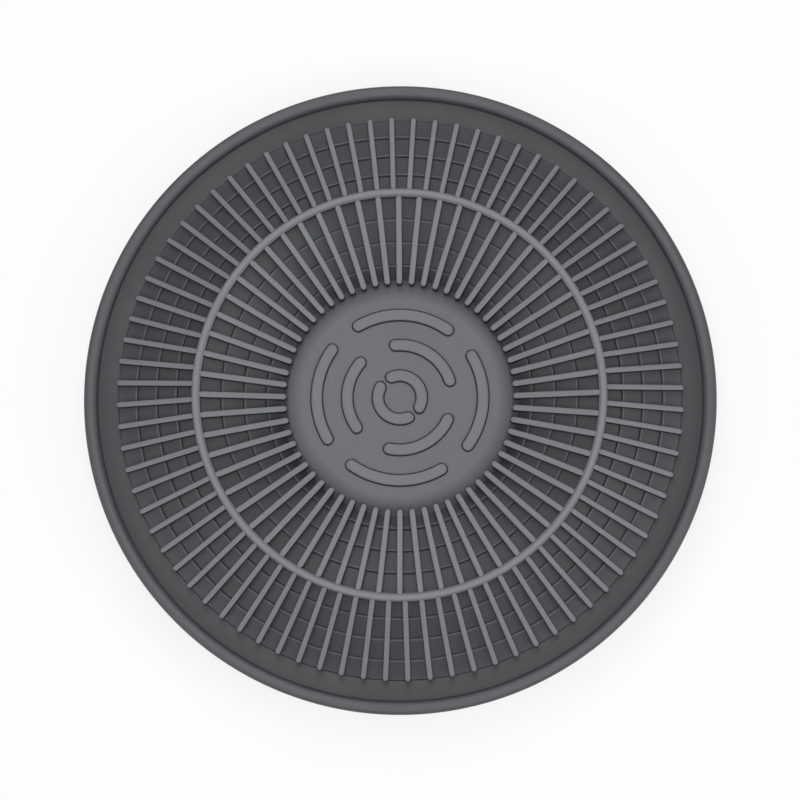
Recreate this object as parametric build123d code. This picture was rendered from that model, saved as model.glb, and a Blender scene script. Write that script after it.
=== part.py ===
from build123d import *
from build123d.topology import SkipClean
from math import hypot
import os

# Driving dimensions, in millimetres. Z is up, and the part stands on Z = 0 about the Z axis.

# Plan of the mat, from the centre out.
disc_radius = 45.2          # plain disc in the middle
inner_zone = 35.8           # edge of the disc to the middle of the ring
outer_zone = 32.2           # middle of the ring to the edge of the insert's border
band_width = 13.8           # edge of the border to the widest point of the rim

# Lick insert: one moulding that climbs from its border and from its disc to a ring, with ribs and lips.
border_thickness = 4.2      # flange that lies on the ledge
border_round = 0.4
seat_clearance = 0.4        # between the insert and the well
lip_depth = 1.5             # straight lip below the flange that centres the insert
insert_wall = 2.4

ring_width = 3.2
ring_rise = 15.5            # top of the ring above the border

disc_drop = 0.5             # top of the disc below the border
disc_step = 0.6             # foot of the inner floor below the disc
disc_shoulder = 2.4         # width of the slope from the disc to the inner floor
hub_margin = 5.0            # plain middle of the disc inside the ribs' ends

rib_sectors = 20            # the rib pattern repeats this often round the insert
rib_phase = 11.85           # degrees clockwise from Y at which an outer and an inner rib line up
rib_below_ring = 0.8        # rib tops below the top of the ring, at its sides
rib_crown = 0.6             # bevel along a rib's top edges
lip_count = 3               # lips across each floor
lip_run = 0.35              # width of a lip's steep side seen from above

outer_ribs_per_sector = 4
outer_rib_width = 2.2
outer_rib_rise = 4.2        # rib top above the border at its outer end
outer_rib_overhang = 0.7    # rib end past the border's edge
outer_first_tread = 7.5     # edge of the border in to the first lip
outer_tread = 8.25
outer_lip_depth = 2.9       # rib top above a lip
outer_lip_height = 1.0

inner_ribs_per_sector = 3
inner_rib_width = 2.4
inner_rib_setback = 0.2     # rib end out from the disc's edge
inner_rib_rise = 5.0        # rib top above the disc at its inner end
inner_first_tread = 8.0     # edge of the disc out to the first lip
inner_tread = 8.9
inner_lip_depth = 3.2       # rib top above a lip
inner_lip_height = 1.0

# Arc ridges on the disc, row by row: angles run clockwise from the Y axis.
arc_radii = (33.5, 21.2, 8.8)
arc_counts = (4, 3, 2)
arc_first_angles = (-30.0, -5.0, -22.5)
arc_last_angles = (35.4, 71.5, 117.5)
arc_width = 4.6
arc_height = 1.4
arc_crown = 0.7

# Outer bowl: a turned shell with a round bead on its rim and a ledge that carries the insert.
bead_radius = 2.8
bead_rise = 4.8             # top of the bead above the insert's border
bead_crease_angle = 195.0   # where the bead meets the smooth band inside it
bead_root_angle = -60.0     # where the outer wall leaves the bead
band_drop = 0.6             # inner edge of the band below the insert's border
band_slope = 5.0            # degrees at that edge, steeper towards the bead
seam_gap = 0.5              # between the band's edge and the insert's border
ledge_width = 2.6           # under the border, in from its edge
well_lean = 2.0             # how far the wall of the well leans in towards the floor
floor_gap = 3.0             # lowest point of the insert above the floor of the bowl
base_thickness = 2.5
bowl_wall = 2.5
base_corner = 4.0

# Suction cups pushed into holes in the base.
cup_count = 6
cup_offset = 12.8           # centres of the cups out from below the disc's edge
cup_radius = 15.0
cup_height = 5.0            # ground to the underside of the bowl
cup_lip = 0.8
cup_lip_width = 1.6
cup_hollow = 2.4
collar_radius = 6.0
collar_height = 1.0
stem_radius = 3.0
stem_clearance = 0.15
head_radius = 4.4
head_tip_radius = 2.6
head_height = 2.6
head_edge = 0.8

# Places worked out from the sizes above.
ring_radius = disc_radius + inner_zone
ring_outer = ring_radius + ring_width / 2
ring_inner = ring_radius - ring_width / 2
border_radius = ring_radius + outer_zone
rim_radius = border_radius + band_width
hub_radius = disc_radius - hub_margin
inner_rib_start = disc_radius + inner_rib_setback
well_radius = border_radius - ledge_width
well_floor_radius = well_radius - well_lean
cup_circle_radius = disc_radius + cup_offset

outer_trough = outer_lip_depth + outer_lip_height
inner_trough = inner_lip_depth + inner_lip_height
rib_root = max(outer_trough, inner_trough, outer_rib_rise, inner_rib_rise + disc_step) + insert_wall
insert_depth = max(border_thickness + lip_depth, disc_drop + disc_step + insert_wall)
base_z = cup_height
floor_z = base_z + base_thickness
border_z = floor_z + floor_gap + insert_depth
ledge_z = border_z - border_thickness
ring_z = border_z + ring_rise
disc_z = border_z - disc_drop


def turned(*edges, angle=360):
    """Turn a closed outline, drawn as (radius, height), about the Z axis from the X axis."""
    return revolve(make_face([Plane.XZ * edge for edge in edges]), Axis.Z, angle)


def polar_point(radius, clock_angle):
    """Plan position at an angle that runs clockwise from the Y axis."""
    return Vector(0, radius).rotate(Axis.Z, -clock_angle)


def outer_rib_z(radius):
    """Height of the outer ribs' tops: a straight climb from the border to the ring."""
    share = (border_radius - radius) / (border_radius - ring_outer)
    top = border_z + outer_rib_rise
    return top + share * (ring_z - rib_below_ring - top)


def inner_rib_z(radius):
    """Height of the inner ribs' tops: a straight climb from the disc to the ring."""
    share = (radius - inner_rib_start) / (ring_inner - inner_rib_start)
    top = disc_z + inner_rib_rise
    return top + share * (ring_z - rib_below_ring - top)


def outer_floor():
    """Floor from the border up to the ring. Each tread climbs to a lip and starts again below it, so
    that the lip holds back what lies above."""
    points = [(border_radius - border_round, border_z)]
    for lip in range(lip_count):
        edge = border_radius - outer_first_tread - lip * outer_tread
        foot = edge - lip_run
        points.append((edge, outer_rib_z(edge) - outer_lip_depth))
        points.append((foot, outer_rib_z(foot) - outer_trough))
    points.append((ring_outer, outer_rib_z(ring_outer) - outer_trough))
    return points


def inner_floor():
    """Floor from the ring down to the foot of the disc, with the same kind of lips."""
    points = [(ring_inner, inner_rib_z(ring_inner) - inner_trough)]
    for lip in reversed(range(lip_count)):
        edge = disc_radius + inner_first_tread + lip * inner_tread
        foot = edge + lip_run
        points.append((foot, inner_rib_z(foot) - inner_trough))
        points.append((edge, inner_rib_z(edge) - inner_lip_depth))
    points.append((disc_radius + disc_shoulder, disc_z - disc_step))
    return points


def make_outer_bowl():
    """Bowl shell: base, well, ledge, smooth band and rim bead, with holes for the cups."""
    rebate_radius = border_radius + seam_gap
    band_edge = Vector(rebate_radius, border_z - band_drop)
    bead_centre = Vector(rim_radius - bead_radius, border_z + bead_rise - bead_radius)
    bead = CenterArc(
        bead_centre, bead_radius, bead_root_angle, bead_crease_angle - bead_root_angle
    )
    inside = Polyline(
        (0, floor_z),
        (well_floor_radius, floor_z),
        (well_radius, ledge_z - lip_depth - seat_clearance),
        (well_radius, ledge_z),
        (rebate_radius, ledge_z),
        band_edge,
    )
    band = TangentArc(band_edge, bead @ 1, tangent=Vector(1, 0).rotate(Axis.Z, band_slope))
    outside = FilletPolyline(
        bead @ 0,
        (well_radius + bowl_wall, ledge_z - bowl_wall),
        (well_floor_radius + bowl_wall, base_z),
        (0, base_z),
        radius=[bowl_wall, base_corner],
    )
    axis = Line((0, base_z), (0, floor_z))
    bowl = turned(inside, band, bead, outside, axis)
    hole = Pos(0, 0, base_z) * Cylinder(
        stem_radius + stem_clearance, base_thickness, align=(Align.CENTER, Align.CENTER, Align.MIN)
    )
    return bowl - [place * hole for place in cup_places()]


def make_insert_wedge(angle):
    """Slice of the insert outside its hub, without ribs: flange, floors with lips, ring and the edge of
    the disc, with a hollow underside."""
    spigot_radius = well_radius - seat_clearance
    lip_z = ledge_z - lip_depth
    outer_points = outer_floor()
    inner_points = inner_floor()
    trough_z = min(outer_points[-1][1], inner_points[0][1])
    foot_radius, foot_z = inner_points[-1]
    ring_shoulder_z = ring_z - ring_width / 2
    rim = Polyline(
        (spigot_radius, lip_z),
        (spigot_radius, ledge_z),
        (border_radius, ledge_z),
        (border_radius, border_z - border_round),
        *outer_points,
        (ring_outer, ring_shoulder_z),
    )
    ring_top = ThreePointArc(
        (ring_outer, ring_shoulder_z), (ring_radius, ring_z), (ring_inner, ring_shoulder_z)
    )
    floor = Polyline((ring_inner, ring_shoulder_z), *inner_points)
    shoulder_middle = (foot_radius + disc_radius) / 2
    shoulder = Bezier(
        (foot_radius, foot_z), (shoulder_middle, foot_z), (shoulder_middle, disc_z), (disc_radius, disc_z)
    )
    underside = Polyline(
        (disc_radius, disc_z),
        (hub_radius, disc_z),
        (hub_radius, disc_z - insert_wall),
        (disc_radius, disc_z - insert_wall),
        (foot_radius, foot_z - insert_wall),
        (ring_inner, trough_z - insert_wall),
        (ring_outer, trough_z - insert_wall),
        (spigot_radius, lip_z),
    )
    return turned(rim, ring_top, floor, shoulder, underside, angle=angle)


def sunk(points):
    """Floor points lowered to the middle of the insert's wall."""
    return [(radius, height - insert_wall / 2) for radius, height in points]


def make_rib(inner_end, outer_end, width, root):
    """One straight rib along X with round ends. Its top runs between two (radius, height) ends,
    and what lies below the root line is trimmed away."""
    (r0, z0), (r1, z1) = inner_end, outer_end
    slope = Vector(r1 - r0, 0, z1 - z0)
    top = Plane(origin=((r0 + r1) / 2, 0, (z0 + z1) / 2), x_dir=slope, z_dir=(z0 - z1, 0, r1 - r0))
    bar = extrude(top * SlotOverall(hypot(r1 - r0, z1 - z0), width), -rib_root - insert_wall)
    crown = bar.faces().sort_by(Axis(top.origin, top.z_dir))[-1]
    bar = chamfer(crown.edges(), rib_crown)
    ceiling = max(z0, z1) + rib_root
    keep = make_face(Polyline(*root, (root[-1][0], ceiling), (root[0][0], ceiling), close=True))
    return bar & extrude(Plane.XZ * keep, width, both=True)


def make_insert_sector():
    """One repeat of the ribbed part, from the X axis on. It starts and ends in the middle of an outer
    and an inner rib. Each rib runs into the ring."""
    angle = 360 / rib_sectors
    outer_end = border_radius + outer_rib_overhang
    outer_root = sunk(outer_floor())
    outer_root.append((ring_radius, outer_root[-1][1]))
    outer_root = [(r, border_z - border_round) for r in (outer_end, border_radius)] + outer_root
    outer = make_rib(
        (ring_radius, outer_rib_z(ring_radius)), (outer_end, outer_rib_z(outer_end)),
        outer_rib_width, outer_root,
    )
    inner_root = sunk([*inner_floor(), (inner_rib_start, disc_z)])
    inner_root.insert(0, (ring_radius, inner_root[0][1]))
    inner = make_rib(
        (inner_rib_start, inner_rib_z(inner_rib_start)), (ring_radius, inner_rib_z(ring_radius)),
        inner_rib_width, inner_root,
    )
    outer_ribs = [
        Rot(0, 0, i * angle / outer_ribs_per_sector) * outer for i in range(outer_ribs_per_sector + 1)
    ]
    inner_ribs = [
        Rot(0, 0, i * angle / inner_ribs_per_sector) * inner for i in range(inner_ribs_per_sector + 1)
    ]
    reach = Polyline((0, 0), (rim_radius, 0), (rim_radius, rim_radius), (0, rim_radius), close=True)
    return (make_insert_wedge(angle) + outer_ribs + inner_ribs) & turned(reach, angle=angle)


def make_arc_ridges():
    """Broken rings of raised bars on the disc."""
    ridges = []
    for radius, count, first, last in zip(arc_radii, arc_counts, arc_first_angles, arc_last_angles):
        middle = (first + last) / 2
        path = ThreePointArc(*(polar_point(radius, angle) for angle in (first, middle, last)))
        bar = extrude(SlotArc(path, arc_width), arc_height + insert_wall / 2)
        bar = fillet(bar.faces().sort_by(Axis.Z)[-1].edges(), arc_crown)
        bar = Pos(0, 0, disc_z - insert_wall / 2) * bar
        ridges += [Rot(0, 0, -360 * i / count) * bar for i in range(count)]
    return ridges


def make_lick_insert():
    """The whole moulding: the hub with its ridges, and the ribbed sectors round it."""
    hub = Pos(0, 0, disc_z) * Cylinder(
        hub_radius, insert_wall, align=(Align.CENTER, Align.CENTER, Align.MAX)
    )
    sector = make_insert_sector()
    sectors = [
        Rot(0, 0, 90 - rib_phase - 360 * i / rib_sectors) * sector for i in range(rib_sectors)
    ]
    middle = hub + make_arc_ridges()
    with SkipClean():  # sector faces stay apart, because merged round surfaces would lose their seam
        ribbed = sectors[0].fuse(*sectors[1:], glue=True)
        return ribbed + middle


def make_suction_cup():
    """Cup at the origin: hollow skirt, collar under the base, stem and a head that snaps through."""
    grip_z = cup_height + base_thickness
    hollow_edge = cup_radius - cup_lip_width
    hollow = TangentArc((0, cup_hollow), (hollow_edge, 0), tangent=(1, 0))
    outside = Polyline(
        (hollow_edge, 0),
        (cup_radius, 0),
        (cup_radius, cup_lip),
        (collar_radius, cup_height - collar_height),
        (collar_radius, cup_height),
        (stem_radius, cup_height),
        (stem_radius, grip_z),
        (head_radius, grip_z),
        (head_radius, grip_z + head_edge),
        (head_tip_radius, grip_z + head_height),
        (0, grip_z + head_height),
        (0, cup_hollow),
    )
    return turned(hollow, outside)


def cup_places():
    """Places of the cups under the base."""
    return PolarLocations(cup_circle_radius, cup_count, start_angle=90).locations


def save(shape, node):
    """Write one node's STEP file, with its curves in space only."""
    export_step(shape, f"parts/{node}.step", write_pcurves=False)


os.makedirs("parts", exist_ok=True)

save(make_outer_bowl(), "outer_bowl")
save(make_lick_insert(), "lick_insert")
for number, place in enumerate(cup_places(), start=1):
    save(place * make_suction_cup(), f"suction_cup_{number}")
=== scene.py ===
from math import cos, hypot, pi, radians, sin, tan

import bmesh
import bpy
import numpy as np
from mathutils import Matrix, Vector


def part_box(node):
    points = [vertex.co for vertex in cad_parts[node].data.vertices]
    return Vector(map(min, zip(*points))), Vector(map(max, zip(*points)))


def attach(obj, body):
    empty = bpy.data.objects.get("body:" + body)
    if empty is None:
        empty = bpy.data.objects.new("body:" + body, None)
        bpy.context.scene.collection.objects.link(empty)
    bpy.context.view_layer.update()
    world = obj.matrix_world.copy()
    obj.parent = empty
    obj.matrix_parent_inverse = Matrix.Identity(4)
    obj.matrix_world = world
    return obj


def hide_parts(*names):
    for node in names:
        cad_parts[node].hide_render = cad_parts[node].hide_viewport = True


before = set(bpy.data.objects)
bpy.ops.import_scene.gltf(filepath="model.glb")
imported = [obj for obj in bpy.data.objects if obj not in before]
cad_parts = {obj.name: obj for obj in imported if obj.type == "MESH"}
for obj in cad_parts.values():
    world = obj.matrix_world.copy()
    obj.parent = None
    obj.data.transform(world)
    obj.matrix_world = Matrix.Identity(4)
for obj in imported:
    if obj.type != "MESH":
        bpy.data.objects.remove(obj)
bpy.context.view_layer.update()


# Outer bowl
# A shallow bowl moulded in hard grey plastic: flat base, leaning side wall, a ledge for the insert,
# a smooth sloping band above it and a round bead on the rim. Its surface is fine and matte.

MM = 0.001
bowl_low, bowl_high = (np.array(corner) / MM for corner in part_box("outer_bowl"))
rim_radius = bowl_high[0]
bead_radius = 2.8
bead_inner_squareness = 2.2
bead_outer_squareness = 3.6
bead_rise = 4.8
border_z = bowl_high[2] - bead_rise
border_thickness = 4.2
ledge_z = border_z - border_thickness
band_width = 13.8
border_radius = rim_radius - band_width
seam_gap = 0.08
rebate_radius = border_radius + seam_gap
band_drop = 0.6
band_slope = radians(5)
ledge_width = 2.6
well_radius = border_radius - ledge_width
well_lean = 2.0
well_floor_radius = well_radius - well_lean
neck_depth = 1.9
base_z = bowl_low[2]
base_thickness = 2.5
floor_z = base_z + base_thickness
bowl_wall = 2.5
base_corner = 4.0
well_corner = 1.5
edge_break = 0.2
bead_crease = radians(195)
bead_root = radians(-60)
band_steps = 14
bead_steps = 40
bowl_turns = 320
# Painted shading of the bowl, from 0 for painted shade to 1 for painted light: the bead's top is painted
# lighter, and the band and the crease darker as painted shade.
bead_painted_shading = 0.6
bead_fade = 0.35
band_fade = 0.5
band_painted_shading = 0.08
crease_painted_shading = 0.06
wall_painted_shading = 0.4


def arc_points(centre, radius, start, end, steps):
    """Points on a circle: centre plus radius times the direction of each angle from start to end."""
    angles = np.linspace(start, end, steps + 1)
    return np.stack([centre[0] + radius * np.cos(angles), centre[1] + radius * np.sin(angles)], 1)


def with_painted_shading(points, painted_shading):
    """Outline points (radius, height) with their painted shading as a third column: 0 paints shade, 1
    paints light.
    """
    return np.column_stack([points, np.broadcast_to(painted_shading, len(points))])


def rounded_outline(corners, degrees_per_step=9.0, guard=0.12):
    """Outline through (radius, height, rounding, painted shading) corners, as rows of radius, height and
    painted shading. A corner with a rounding becomes the arc that touches both of its runs: it starts
    rounding * tan(turn / 2) before the corner and ends as far after. A guard point on each side of the
    arc keeps the straight runs flat when they are shaded. All points of a corner have its painted shading."""
    corners = np.array(corners, float)
    points = [corners[:1, [0, 1, 3]]]
    for before, (x, z, rounding, painted_shading), after in zip(corners[:-2], corners[1:-1], corners[2:]):
        corner = np.array([x, z])
        back = before[:2] - corner
        ahead = after[:2] - corner
        back_room = np.linalg.norm(back)
        ahead_room = np.linalg.norm(ahead)
        back /= back_room
        ahead /= ahead_room
        turn = pi - np.arccos(np.clip(back @ ahead, -1, 1))
        reach = rounding * tan(turn / 2)
        if reach < 1e-6:
            points.append([[x, z, painted_shading]])
            continue
        steps = max(2, int(np.ceil(np.degrees(turn) / degrees_per_step)))
        middle = corner + (back + ahead) / np.linalg.norm(back + ahead) * hypot(rounding, reach)
        start = corner + back * reach - middle
        sweep = turn * np.sign(start[0] * ahead[1] - start[1] * ahead[0])
        first = np.arctan2(start[1], start[0])
        arc = arc_points(middle, rounding, first, first + sweep, steps)
        if back_room > reach + 2 * guard:
            arc = np.concatenate([[corner + back * (reach + guard)], arc])
        if ahead_room > reach + 2 * guard:
            arc = np.concatenate([arc, [corner + ahead * (reach + guard)]])
        points.append(with_painted_shading(arc, painted_shading))
    points.append(corners[-1:, [0, 1, 3]])
    return np.concatenate(points)


def turned_surface(outline, turns):
    """Outline (radius, height, painted shading) swept round Z: x = radius cos a, y = radius sin a, z =
    height.
    The first and last point lie on the axis and close the surface as poles."""
    angles = np.arange(turns) * 2 * pi / turns
    body = outline[1:-1]
    grid = np.stack(
        [
            np.outer(body[:, 0], np.cos(angles)),
            np.outer(body[:, 0], np.sin(angles)),
            np.outer(body[:, 1], np.ones(turns)),
        ],
        2,
    )
    poles = np.array([[0, 0, outline[0, 1]], [0, 0, outline[-1, 1]]])
    points = np.concatenate([grid.reshape(-1, 3), poles])
    rows, columns = np.meshgrid(np.arange(len(body) - 1), np.arange(turns), indexing="ij")
    after = (columns + 1) % turns
    here = rows * turns
    quads = np.stack([here + columns, here + after, here + turns + after, here + turns + columns], 2)
    quads = quads.reshape(-1, 4)
    around = np.arange(turns)
    beside = (around + 1) % turns
    first_pole = len(body) * turns
    last_row = (len(body) - 1) * turns
    caps = np.concatenate(
        [
            np.stack([np.full(turns, first_pole), beside, around], 1),
            np.stack([np.full(turns, first_pole + 1), last_row + around, last_row + beside], 1),
        ]
    )
    painted_shading = np.concatenate([np.repeat(body[:, 2], turns), outline[[0, -1], 2]])
    return points, quads.tolist() + caps.tolist(), painted_shading


def make_piece(name, surfaces, material, smooth_angle=38.0):
    """One object from (points in millimetres, faces, painted shading) surfaces. The painted shading becomes
    a point attribute. Doubles are merged, each closed shell's faces are turned outwards, and only edges
    sharper than the angle stay sharp."""
    faces, start = [], 0
    for surface_points, surface_faces, _ in surfaces:
        faces += [[start + corner for corner in face] for face in surface_faces]
        start += len(surface_points)
    mesh = bpy.data.meshes.new(name)
    mesh.from_pydata(np.concatenate([points for points, _, _ in surfaces]) * MM, [], faces)
    painted_shading = mesh.attributes.new("painted_shading", "FLOAT", "POINT")
    painted_shading.data.foreach_set("value", np.concatenate([values for _, _, values in surfaces]))
    shell = bmesh.new()
    shell.from_mesh(mesh)
    bmesh.ops.remove_doubles(shell, verts=shell.verts, dist=2e-7)
    bmesh.ops.dissolve_degenerate(shell, edges=shell.edges, dist=1e-8)
    bmesh.ops.recalc_face_normals(shell, faces=shell.faces)
    shell.to_mesh(mesh)
    shell.free()
    mesh.shade_smooth()
    mesh.set_sharp_from_angle(angle=radians(smooth_angle))
    mesh.materials.append(material)
    piece = bpy.data.objects.new(name, mesh)
    bpy.context.scene.collection.objects.link(piece)
    return piece


def add_node(tree, kind, **values):
    """A shader node with its properties, and its input sockets where the name is one."""
    node = tree.nodes.new(kind)
    for key, value in values.items():
        if key in node.inputs:
            node.inputs[key].default_value = value
        else:
            setattr(node, key, value)
    return node


def moulded_skin_group():
    """Shared finish of the moulded pieces. Broad noise mottles the colour, fine noise gives the grain
    that a blasted mould leaves, and rare small cells are specks of dust."""
    tree = bpy.data.node_groups.new("moulded_skin", "ShaderNodeTree")
    tree.interface.new_socket("Colour", in_out="INPUT", socket_type="NodeSocketColor")
    for name in ("Mottle", "Grain Scale", "Roughness", "Dust"):
        tree.interface.new_socket(name, in_out="INPUT", socket_type="NodeSocketFloat")
    tree.interface.new_socket("Colour", in_out="OUTPUT", socket_type="NodeSocketColor")
    for name in ("Roughness", "Height"):
        tree.interface.new_socket(name, in_out="OUTPUT", socket_type="NodeSocketFloat")
    entry = tree.nodes.new("NodeGroupInput")
    leave = tree.nodes.new("NodeGroupOutput")
    link = tree.links.new
    place = tree.nodes.new("ShaderNodeTexCoord")
    broad = add_node(tree, "ShaderNodeTexNoise", Scale=26.0, Detail=5.0, Roughness=0.62)
    link(place.outputs["Object"], broad.inputs["Vector"])
    spread = add_node(tree, "ShaderNodeMapRange")
    spread.inputs["From Min"].default_value = 0.3
    spread.inputs["From Max"].default_value = 0.7
    spread.inputs["To Min"].default_value = -1.0
    spread.inputs["To Max"].default_value = 1.0
    link(broad.outputs["Fac"], spread.inputs["Value"])
    share = add_node(tree, "ShaderNodeMath", operation="MULTIPLY_ADD")
    share.inputs[2].default_value = 1.0
    link(spread.outputs["Result"], share.inputs[0])
    link(entry.outputs["Mottle"], share.inputs[1])
    tinted = add_node(tree, "ShaderNodeVectorMath", operation="SCALE")
    link(entry.outputs["Colour"], tinted.inputs[0])
    link(share.outputs["Value"], tinted.inputs["Scale"])
    specks = add_node(tree, "ShaderNodeTexVoronoi", Scale=420.0)
    link(place.outputs["Object"], specks.inputs["Vector"])
    near = add_node(tree, "ShaderNodeMath", operation="LESS_THAN")
    near.inputs[1].default_value = 0.1
    link(specks.outputs["Distance"], near.inputs[0])
    chosen = add_node(tree, "ShaderNodeSeparateColor")
    link(specks.outputs["Color"], chosen.inputs["Color"])
    rare = add_node(tree, "ShaderNodeMath", operation="GREATER_THAN")
    rare.inputs[1].default_value = 0.985
    link(chosen.outputs["Red"], rare.inputs[0])
    speck = add_node(tree, "ShaderNodeMath", operation="MULTIPLY")
    link(near.outputs["Value"], speck.inputs[0])
    link(rare.outputs["Value"], speck.inputs[1])
    dusty = add_node(tree, "ShaderNodeMath", operation="MULTIPLY")
    link(speck.outputs["Value"], dusty.inputs[0])
    link(entry.outputs["Dust"], dusty.inputs[1])
    finish = add_node(tree, "ShaderNodeMix", data_type="RGBA")
    finish.inputs["B"].default_value = (0.42, 0.42, 0.42, 1)
    link(dusty.outputs["Value"], finish.inputs["Factor"])
    link(tinted.outputs["Vector"], finish.inputs["A"])
    link(finish.outputs["Result"], leave.inputs["Colour"])
    grain = add_node(tree, "ShaderNodeTexNoise", Detail=3.0, Roughness=0.6)
    link(place.outputs["Object"], grain.inputs["Vector"])
    link(entry.outputs["Grain Scale"], grain.inputs["Scale"])
    link(grain.outputs["Fac"], leave.inputs["Height"])
    polish = add_node(tree, "ShaderNodeMath", operation="MULTIPLY_ADD")
    polish.inputs[1].default_value = 0.05
    link(spread.outputs["Result"], polish.inputs[0])
    link(entry.outputs["Roughness"], polish.inputs[2])
    link(polish.outputs["Value"], leave.inputs["Roughness"])
    return tree


moulded_skin = moulded_skin_group()


def moulded_material(name, painted_shade_colour, painted_lit_colour, deep_roughness, crest_roughness, mottle, grain_scale,
                     grain_height, dust=0.1, specular=0.5):
    """Principled finish of a moulded piece. Its painted shading mixes a darker colour, painted shade, into
    the deep faces and a lighter colour, painted light, onto the crests. It also makes the deep faces
    rougher than the crests, and the moulded skin adds mottle, dust and grain."""
    material = bpy.data.materials.new(name)
    material.use_nodes = True
    tree = material.node_tree
    shader = tree.nodes["Principled BSDF"]
    shader.inputs["Specular IOR Level"].default_value = specular
    skin = add_node(tree, "ShaderNodeGroup", node_tree=moulded_skin)
    skin.inputs["Mottle"].default_value = mottle
    skin.inputs["Grain Scale"].default_value = grain_scale
    skin.inputs["Dust"].default_value = dust
    # The point attribute is painted shading: 0 gives the darker colour as painted shade, 1 the lighter
    # colour as painted light.
    painted_shading = add_node(tree, "ShaderNodeAttribute", attribute_name="painted_shading")
    shade = add_node(tree, "ShaderNodeMix", data_type="RGBA")
    shade.inputs["A"].default_value = (*painted_shade_colour, 1)
    shade.inputs["B"].default_value = (*painted_lit_colour, 1)
    dullness = add_node(tree, "ShaderNodeMapRange")
    dullness.inputs["To Min"].default_value = deep_roughness
    dullness.inputs["To Max"].default_value = crest_roughness
    tree.links.new(painted_shading.outputs["Fac"], shade.inputs["Factor"])
    tree.links.new(painted_shading.outputs["Fac"], dullness.inputs["Value"])
    tree.links.new(shade.outputs["Result"], skin.inputs["Colour"])
    tree.links.new(dullness.outputs["Result"], skin.inputs["Roughness"])
    bump = add_node(tree, "ShaderNodeBump", Strength=0.35, Distance=grain_height)
    tree.links.new(skin.outputs["Colour"], shader.inputs["Base Color"])
    tree.links.new(skin.outputs["Roughness"], shader.inputs["Roughness"])
    tree.links.new(skin.outputs["Height"], bump.inputs["Height"])
    tree.links.new(bump.outputs["Normal"], shader.inputs["Normal"])
    return material


def bowl_outline():
    """Half section of the bowl from the middle of its floor, over the rim, to the middle of its base.
    The band is the arc that leaves its inner edge at band_slope and ends at the bead's crease. The bead
    is a circle squared a little, more on its outer half: each coordinate of its unit circle is raised to
    2 / squareness. Painted shade darkens the colour from the band's outer part and the bead's top to the
    crease."""
    bead_centre = np.array([rim_radius - bead_radius, border_z + bead_rise - bead_radius])
    circle = arc_points((0, 0), 1.0, bead_crease, bead_root, bead_steps)
    squareness = np.where(circle[:, :1] > 0, bead_outer_squareness, bead_inner_squareness)
    bead = bead_centre + bead_radius * np.sign(circle) * np.abs(circle) ** (2 / squareness)
    bead_shades = np.interp(np.linspace(0, 1, len(bead)), [0, bead_fade], [crease_painted_shading, bead_painted_shading])
    band_edge = np.array([rebate_radius, border_z - band_drop])
    chord = bead[0] - band_edge
    lean = np.arctan2(chord[1], chord[0]) - band_slope
    band_radius = np.linalg.norm(chord) / (2 * sin(lean))
    band_centre = band_edge + band_radius * np.array([-sin(band_slope), cos(band_slope)])
    first = band_slope - pi / 2
    band = arc_points(band_centre, band_radius, first, first + 2 * lean, band_steps)
    band_shades = np.interp(np.linspace(0, 1, len(band)), [band_fade, 1], [band_painted_shading, crease_painted_shading])
    inside = rounded_outline(
        [
            (0, floor_z, 0, wall_painted_shading),
            (well_floor_radius, floor_z, well_corner, wall_painted_shading),
            (well_radius, ledge_z - neck_depth, 0, wall_painted_shading),
            (well_radius, ledge_z, edge_break, wall_painted_shading),
            (rebate_radius, ledge_z, edge_break, crease_painted_shading),
            (*band_edge, edge_break, band_painted_shading),
            (*band[2], 0, band_painted_shading),
        ]
    )
    outside = rounded_outline(
        [
            (*bead[-1], 0, wall_painted_shading),
            (well_radius + bowl_wall, ledge_z - bowl_wall, bowl_wall, wall_painted_shading),
            (well_floor_radius + bowl_wall, base_z, base_corner, wall_painted_shading),
            (0, base_z, 0, wall_painted_shading),
        ]
    )
    band = with_painted_shading(band, band_shades)
    return np.concatenate([inside, band[3:-1], with_painted_shading(bead, bead_shades), outside[1:]])


# The darker colour is painted shade on the deep faces, the lighter one painted light on the crests.
bowl_plastic = moulded_material(
    "bowl_plastic", painted_shade_colour=(0.031, 0.0335, 0.0375), painted_lit_colour=(0.094, 0.1, 0.109),
    deep_roughness=0.5, crest_roughness=0.46, mottle=0.035, grain_scale=2600.0, grain_height=0.00003,
)
outer_bowl = make_piece("outer_bowl_shell", [turned_surface(bowl_outline(), bowl_turns)], bowl_plastic)
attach(outer_bowl, "bowl")
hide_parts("outer_bowl")


# Lick insert
# One soft silicone moulding that lies on the bowl's ledge. It climbs from its border and from a plain disc
# in the middle to a ring, with two rows of radial ribs, low lips across the floors between them, and broken
# arc ridges on the disc.

insert_wall = 2.4
seat_clearance = 0.4
lip_depth = 1.5
outer_zone = 32.2
inner_zone = 35.8
ring_radius = border_radius - outer_zone
ring_width = 3.2
ring_rise = 15.5
ring_z = border_z + ring_rise
ring_outer = ring_radius + ring_width / 2
ring_inner = ring_radius - ring_width / 2
disc_radius = ring_radius - inner_zone
disc_drop = 0.5
disc_z = border_z - disc_drop
disc_step = 0.6
disc_shoulder = 2.4
rib_phase = radians(11.85)
rib_below_ring = 0.8
lip_count = 3

outer_rib_count = 80
outer_rib_width = 2.2
outer_rib_rise = 4.2
outer_rib_overhang = 0.7
outer_rib_end = border_radius + outer_rib_overhang
outer_rib_roots = (5.3, 4.3)
outer_first_tread = 7.5
outer_tread = 8.25
outer_lips = border_radius - outer_first_tread - outer_tread * np.arange(lip_count)
outer_lip_depth = 2.9
outer_foot_depth = 4.0

inner_rib_count = 60
inner_rib_width = 2.4
inner_rib_setback = 0.2
inner_rib_start = disc_radius + inner_rib_setback
inner_rib_rise = 5.0
inner_rib_roots = (6.0, 5.4)
inner_first_tread = 8.0
inner_tread = 8.9
inner_lips = disc_radius + inner_first_tread + inner_tread * np.arange(lip_count)
inner_lip_depth = 3.2
inner_foot_depth = 4.3

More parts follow.
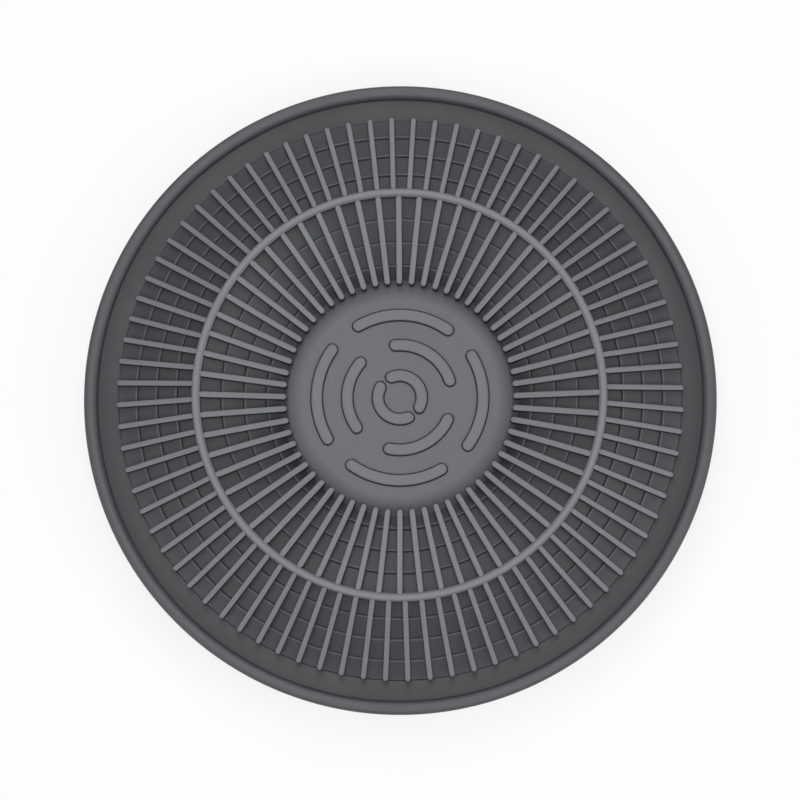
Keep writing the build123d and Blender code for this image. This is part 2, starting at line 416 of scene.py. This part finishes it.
lip_run = 0.6
groove_run = 0.3
edge_width = 0.55
edge_fall = 0.08
edge_rounding = 0.3
foot_rounding = 0.15
disc_edge_rounding = 1.6
disc_foot_rounding = 1.2
border_rounding = 0.3
insert_turns = 240
rib_crown = 0.55
rib_bite = 0.4
ridge_width = 4.6
ridge_height = 1.4
ridge_sink = 0.4
ridge_crown = 0.8
ridge_fillet = 0.35
ring_crown = 0.7
# Painted shading of the insert, from 0 for painted shade to 1 for painted light: the tops of the ribs and
# the ring painted light, the arc ridges a little less, and the rib sides dark as painted shade.
crest_painted_shading = 1.0
ridge_painted_shading = 0.78
# The disc is painted a little darker than the crests, and darker again over its outer edge as painted shade
# beside the rib ends.
disc_painted_shading = 0.62
disc_edge_shade_width = 5.5
disc_edge_painted_shading = 0.3
# The border's edge and the lips' edges are painted lighter as painted highlights.
border_painted_highlight = 0.36
lip_edge_painted_highlight = 0.55
# The treads between the ribs, the lips' steep sides and the ridges' fillets are painted dark as shade in
# the recesses.
tread_painted_shading = 0.25
lip_side_painted_shading = 0.04
fillet_painted_shading = 0.05
side_painted_shading = 0.0
shade_start = 0.86


def outer_rib_z(radius):
    """Tops of the outer ribs: a straight climb from the border to just below the ring's top."""
    top = border_z + outer_rib_rise
    share = (border_radius - radius) / (border_radius - ring_outer)
    return top + share * (ring_z - rib_below_ring - top)


def inner_rib_z(radius):
    """Tops of the inner ribs: a straight climb from the disc to just below the ring's top."""
    top = disc_z + inner_rib_rise
    share = (radius - inner_rib_start) / (ring_inner - inner_rib_start)
    return top + share * (ring_z - rib_below_ring - top)


def lip(edge, towards, rib_z, edge_depth, foot_depth):
    """Corners of one lip, in order uphill: where the painted highlight on its edge starts, the edge, the
    foot of its steep side, painted dark as shade, and the place where the next tread takes its own painted
    shade.
    Depths are measured down from the ribs' tops, and towards is the direction in which the floor climbs: 1
    outwards, -1 inwards."""
    start = edge - towards * edge_width
    foot = edge + towards * lip_run
    tread = foot + towards * groove_run
    return [
        (start, rib_z(start) - edge_depth - edge_fall, 0, tread_painted_shading),
        (edge, rib_z(edge) - edge_depth, edge_rounding, lip_edge_painted_highlight),
        (foot, rib_z(foot) - foot_depth, foot_rounding, lip_side_painted_shading),
        (tread, rib_z(tread) - foot_depth, 0, tread_painted_shading),
    ]


def insert_outline():
    """Half section of the insert from the middle of the disc, up over the inner floor to the ring, down
    the outer floor, round the border and back under. Each tread of a floor climbs to a lip and starts
    again below it."""
    foot = disc_radius + disc_shoulder
    corners = [
        (0, disc_z, 0, disc_painted_shading),
        (disc_radius - disc_edge_shade_width, disc_z, 0, disc_painted_shading),
        (disc_radius, disc_z, disc_edge_rounding, disc_edge_painted_shading),
        (foot, disc_z - disc_step, disc_foot_rounding, tread_painted_shading),
    ]
    for edge in inner_lips:
        corners += lip(edge, 1, inner_rib_z, inner_lip_depth, inner_foot_depth)
    trough_inner = inner_rib_z(ring_inner) - inner_foot_depth
    trough_outer = outer_rib_z(ring_outer) - outer_foot_depth
    corners += [
        (ring_inner, trough_inner, foot_rounding, tread_painted_shading),
        (ring_inner, ring_z, ring_crown, crest_painted_shading),
        (ring_outer, ring_z, ring_crown, crest_painted_shading),
        (ring_outer, trough_outer, foot_rounding, tread_painted_shading),
    ]
    for edge in outer_lips[::-1]:
        corners += lip(edge, -1, outer_rib_z, outer_lip_depth, outer_foot_depth)[::-1]
    spigot_radius = well_radius - seat_clearance
    trough = min(trough_inner, trough_outer) - insert_wall
    corners += [
        (border_radius, border_z, border_rounding, border_painted_highlight),
        (border_radius, ledge_z, edge_break, side_painted_shading),
        (spigot_radius, ledge_z, edge_break, wall_painted_shading),
        (spigot_radius, ledge_z - lip_depth, 0.4, wall_painted_shading),
        (ring_outer, trough, 1.0, wall_painted_shading),
        (ring_inner, trough, 1.0, wall_painted_shading),
        (foot, disc_z - disc_step - insert_wall, 2.0, wall_painted_shading),
        (disc_radius, disc_z - insert_wall, 1.5, wall_painted_shading),
        (0, disc_z - insert_wall, 0, wall_painted_shading),
    ]
    return rounded_outline(corners)


def tube_faces(copies, rows, ring):
    """Quads of closed tubes: point (copy, row, place) joins the next row and the next place round."""
    copy, row, place = np.meshgrid(np.arange(copies), np.arange(rows - 1), np.arange(ring), indexing="ij")
    start = (copy * rows + row) * ring
    after = (place + 1) % ring
    quads = np.stack([start + place, start + after, start + ring + after, start + ring + place], 3)
    return quads.reshape(-1, 4)


def bar_grid(length, half, cap_steps, run_steps, across_steps):
    """A bar with round ends, seen from above: places along it from -half to length + half, offsets across
    it, and each point's distance q from the line between its two end centres, as a share of half."""
    cap = -half * np.cos(np.linspace(0, pi / 2, cap_steps + 1))
    along = np.concatenate([cap, np.linspace(0, length, run_steps + 1)[1:-1], length - cap[::-1]])
    beyond = np.maximum(np.maximum(-along, along - length), 0)
    spread = np.sqrt(np.maximum(half**2 - beyond**2, 0))
    offset = np.outer(spread, np.sin(np.linspace(-pi / 2, pi / 2, across_steps + 1)))
    q = np.clip(np.hypot(offset, beyond[:, None]) / half, 0, 1)
    return along, offset, q


def crown_drop(q, crown, squareness=4.0):
    """How far a bar's top lies below its middle at q: crown * (1 - (1 - q^n)^(1 / n)), so that the top is
    flat in the middle and turns down into the side at the edge."""
    return crown * (1 - (1 - q**squareness) ** (1 / squareness))


def crest_shade(q, painted_shading):
    """Painted shading across a bar's top: the given level of painted light as far as shade_start of the way
    to its edge, then down to painted shade at the edge.
    """
    return painted_shading * (1 - np.clip((q - shade_start) / (1 - shade_start), 0, 1))


def stacked(x, y, z, painted_shading):
    """The four values side by side in a last axis, spread to one shape."""
    return np.stack(np.broadcast_arrays(x, y, z, painted_shading), -1)


def closed_bars(*parts):
    """Bars whose points (copy, along, place) go across the top and back round below, part by part."""
    points = np.concatenate(parts, 2)
    faces = tube_faces(*points.shape[:3]).tolist()
    points = points.reshape(-1, 4)
    return points[:, :3], faces, points[:, 3]


def rib_row(count, inner_end, outer_end, top_z, width, root_depths):
    """A ring of straight ribs with round ends. A rib's top follows top_z along its length, and its root
    lies inside the floor, at the given depths below the top at the rib's two ends."""
    half = width / 2
    along, offset, q = bar_grid(outer_end - inner_end - width, half, 5, 4, 12)
    radius = inner_end + half + along
    line = top_z(radius)
    root = line - np.interp(radius, [inner_end, outer_end], root_depths)
    angles = pi / 2 - rib_phase - np.arange(count) * 2 * pi / count
    cosine = np.cos(angles)[:, None, None]
    sine = np.sin(angles)[:, None, None]
    reach = radius[:, None]
    x = cosine * reach - sine * offset
    y = sine * reach + cosine * offset
    # The rib's top is painted light down to painted shade at its edges, and its sides are painted dark as
    # shade.
    top = stacked(x, y, line[:, None] - crown_drop(q, rib_crown), crest_shade(q, crest_painted_shading))
    below = stacked(x[:, :, [-1, 0]], y[:, :, [-1, 0]], root[:, None], side_painted_shading)
    return closed_bars(top, below)


def arc_ridges(radius, count, first, last):
    """Raised bars with round ends, bent along arcs of the disc, with a fillet at their foot. Angles run
    clockwise from +Y in degrees, from first to last, and the offset across a bar is added to the arc's
    radius."""
    starts = radians(first) + np.arange(count) * 2 * pi / count
    length = radius * radians(last - first)

    def on_arc(along, offset):
        clock = starts[:, None, None] + along[:, None] / radius
        return (radius + offset) * np.sin(clock), (radius + offset) * np.cos(clock)

    along, offset, q = bar_grid(length, ridge_width / 2, 9, 26, 18)
    wide_along, wide_offset, _ = bar_grid(length, ridge_width / 2 + ridge_fillet, 9, 26, 18)
    right = on_arc(wide_along, wide_offset[:, -1:])
    left = on_arc(wide_along, wide_offset[:, :1])
    top_z = disc_z + ridge_height - crown_drop(q, ridge_crown)
    # The ridges' tops are painted light down to painted shade at their edges, and the fillets at their feet
    # are painted dark as shade.
    return closed_bars(
        stacked(*on_arc(along, offset), top_z, crest_shade(q, ridge_painted_shading)),
        stacked(*right, disc_z, fillet_painted_shading),
        stacked(*right, disc_z - ridge_sink, fillet_painted_shading),
        stacked(*left, disc_z - ridge_sink, fillet_painted_shading),
        stacked(*left, disc_z, fillet_painted_shading),
    )


# The darker colour is painted shade on the deep faces, the lighter one painted light on the crests.
insert_silicone = moulded_material(
    "insert_silicone", painted_shade_colour=(0.02, 0.0214, 0.024), painted_lit_colour=(0.168, 0.177, 0.191),
    deep_roughness=0.62, crest_roughness=0.44, mottle=0.03, grain_scale=3400.0, grain_height=0.00003,
)
outer_ribs = rib_row(
    outer_rib_count, ring_outer - rib_bite, outer_rib_end, outer_rib_z, outer_rib_width, outer_rib_roots
)
inner_ribs = rib_row(
    inner_rib_count, inner_rib_start, ring_inner + rib_bite, inner_rib_z, inner_rib_width, inner_rib_roots
)
lick_insert = make_piece(
    "lick_insert_moulding",
    [
        turned_surface(insert_outline(), insert_turns),
        outer_ribs,
        inner_ribs,
        arc_ridges(radius=33.5, count=4, first=-30.0, last=35.4),
        arc_ridges(radius=21.2, count=3, first=-5.0, last=71.5),
        arc_ridges(radius=8.8, count=2, first=-22.5, last=117.5),
    ],
    insert_silicone,
)
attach(lick_insert, "insert")
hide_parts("lick_insert")


# Suction cups
# Six soft cups in darker silicone. Each has a hollow skirt, a collar against the base, and a stem whose
# head is pushed through a hole in the base from below.

cup_radius = 15.0
cup_lip = 0.8
cup_lip_width = 1.6
cup_hollow = 2.4
hollow_bend_radius = 6.0
hollow_bend_height = 2.0
collar_radius = 6.0
collar_height = 1.0
stem_radius = 3.0
head_radius = 4.4
head_edge = 0.8
head_tip_radius = 2.6
head_height = 2.6
cup_turns = 72
cup_count = 6
# Painted shading of the cups: the hollow under the skirt and the stem under the base are painted darker as
# shade, the rest of the skin in full colour.
hollow_painted_shading = 0.4
stem_painted_shading = 0.6
skin_painted_shading = 1.0
cup_outline = rounded_outline(
    [
        (0, cup_hollow, 0, hollow_painted_shading),
        (hollow_bend_radius, hollow_bend_height, 9.0, hollow_painted_shading),
        (cup_radius - cup_lip_width, 0, 0.3, skin_painted_shading),
        (cup_radius, 0, edge_break, skin_painted_shading),
        (cup_radius, cup_lip, 0.3, skin_painted_shading),
        (collar_radius, base_z - collar_height, 1.5, stem_painted_shading),
        (collar_radius, base_z, edge_break, stem_painted_shading),
        (stem_radius, base_z, 0, stem_painted_shading),
        (stem_radius, floor_z, 0, stem_painted_shading),
        (head_radius, floor_z, edge_break, skin_painted_shading),
        (head_radius, floor_z + head_edge, 0.3, skin_painted_shading),
        (head_tip_radius, floor_z + head_height, 0.6, skin_painted_shading),
        (0, floor_z + head_height, 0, skin_painted_shading),
    ]
)
# The darker colour is painted shade in the hollow and on the stem, the lighter one painted light on the
# skin.
cup_silicone = moulded_material(
    "cup_silicone", painted_shade_colour=(0.06, 0.061, 0.065), painted_lit_colour=(0.1, 0.101, 0.107),
    deep_roughness=0.48, crest_roughness=0.4, mottle=0.03, grain_scale=3000.0, grain_height=0.00002,
)
for number in range(1, cup_count + 1):
    node = f"suction_cup_{number}"
    low, high = (np.array(corner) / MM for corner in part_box(node))
    points, faces, painted_shading = turned_surface(cup_outline, cup_turns)
    cup_centre = (low + high) / 2
    points = points + [cup_centre[0], cup_centre[1], 0]
    cup = make_piece(f"{node}_skirt", [(points, faces, painted_shading)], cup_silicone)
    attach(cup, "bowl")
    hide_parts(node)


# Studio
# A plain white floor under a large soft light from above and weaker ones behind and beside the mat, and
# the camera nearly straight above, a little towards the bottom of the picture.

scene = bpy.context.scene
scene.view_settings.view_transform = "Standard"

floor_half = 3.0
floor_glow_share = 0.8
ambient_strength = 0.25


def white_when_seen(tree, lit, white_kind, share, *ray_kinds):
    """Mix shader that shows plain white by a share in place of the lit shader, on the named rays: the share
    is multiplied by the sum of the rays' flags, which is 1 at most."""
    white = add_node(tree, white_kind, Strength=1.0)
    white.inputs["Color"].default_value = (1, 1, 1, 1)
    ray = add_node(tree, "ShaderNodeLightPath")
    part = None
    for kind in ray_kinds:
        total = add_node(tree, "ShaderNodeMath", operation="MULTIPLY_ADD", use_clamp=True)
        total.inputs[1].default_value = share
        total.inputs[2].default_value = 0.0
        tree.links.new(ray.outputs[kind], total.inputs[0])
        if part:
            tree.links.new(part, total.inputs[2])
        part = total.outputs["Value"]
    blend = add_node(tree, "ShaderNodeMixShader")
    tree.links.new(part, blend.inputs["Fac"])
    tree.links.new(lit, blend.inputs[1])
    tree.links.new(white.outputs[0], blend.inputs[2])
    return blend.outputs["Shader"]


floor_mesh = bpy.data.meshes.new("studio_floor")
floor_corners = floor_half * np.array([(-1, -1, 0), (1, -1, 0), (1, 1, 0), (-1, 1, 0)])
floor_mesh.from_pydata(floor_corners, [], [(0, 1, 2, 3)])
studio_floor = bpy.data.objects.new("studio_floor", floor_mesh)
scene.collection.objects.link(studio_floor)
floor_white = bpy.data.materials.new("floor_white")
floor_white.use_nodes = True
floor_tree = floor_white.node_tree
floor_tree.nodes.clear()
paper = add_node(floor_tree, "ShaderNodeBsdfDiffuse")
paper.inputs["Color"].default_value = (0.9, 0.9, 0.9, 1)
floor_out = add_node(floor_tree, "ShaderNodeOutputMaterial")
floor_seen = white_when_seen(
    floor_tree, paper.outputs["BSDF"], "ShaderNodeEmission", floor_glow_share,
    "Is Camera Ray", "Is Glossy Ray", "Is Transmission Ray",
)
floor_tree.links.new(floor_seen, floor_out.inputs["Surface"])
floor_mesh.materials.append(floor_white)

world = bpy.data.worlds.new("studio_world")
scene.world = world
world.use_nodes = True
world_tree = world.node_tree
world_tree.nodes.clear()
ambient = add_node(world_tree, "ShaderNodeBackground", Strength=ambient_strength)
ambient.inputs["Color"].default_value = (1, 1, 1, 1)
world_out = add_node(world_tree, "ShaderNodeOutputWorld")
sky_seen = white_when_seen(
    world_tree, ambient.outputs["Background"], "ShaderNodeBackground", 1.0,
    "Is Camera Ray", "Is Transmission Ray",
)
world_tree.links.new(sky_seen, world_out.inputs["Surface"])


def soft_light(name, clock, elevation, distance, sides, power, roll=0.0):
    """Rectangular area light aimed at the mat, at a clock angle from +Y and an elevation in degrees."""
    lamp = bpy.data.lights.new(name, "AREA")
    lamp.shape = "RECTANGLE"
    lamp.size, lamp.size_y = sides
    lamp.energy = power
    light = bpy.data.objects.new(name, lamp)
    flat = cos(radians(elevation))
    light.location = (
        distance * flat * sin(radians(clock)),
        distance * flat * cos(radians(clock)),
        distance * sin(radians(elevation)),
    )
    light.rotation_euler = light.location.to_track_quat("Z", "Y").to_euler()
    light.rotation_euler.z += radians(roll)
    light.visible_camera = False
    scene.collection.objects.link(light)


soft_light("overhead_light", 0, 90, 1.2, (0.6, 1.6), 8.5, roll=12)
soft_light("back_light", 0, 45, 1.4, (0.7, 0.5), 3.2)
soft_light("right_light", 110, 36, 1.4, (0.8, 0.6), 4.4)
soft_light("left_light", 240, 36, 1.4, (0.8, 0.6), 3.4)

photo_pixels = 800
mat_pixels = 632.5
camera_tilt = radians(6.6)
camera_side = radians(1.05)
camera_distance = 1.1
aim_x = 0.0001
aim_y = -0.0013
aim = np.array([aim_x, aim_y, (border_z + bead_rise - bead_radius) * MM])
view_width = 2 * rim_radius * MM * photo_pixels / mat_pixels
camera_data = bpy.data.cameras.new("photo_camera")
camera_data.sensor_width = 36.0
camera_data.lens = camera_data.sensor_width * camera_distance / view_width
camera = bpy.data.objects.new("photo_camera", camera_data)
camera_flat = cos(camera_tilt)
away = np.array([camera_flat * sin(camera_side), -sin(camera_tilt), camera_flat * cos(camera_side)])
camera.location = aim + camera_distance * away
camera.rotation_euler = (camera_tilt, camera_side, 0)
scene.collection.objects.link(camera)
scene.camera = camera
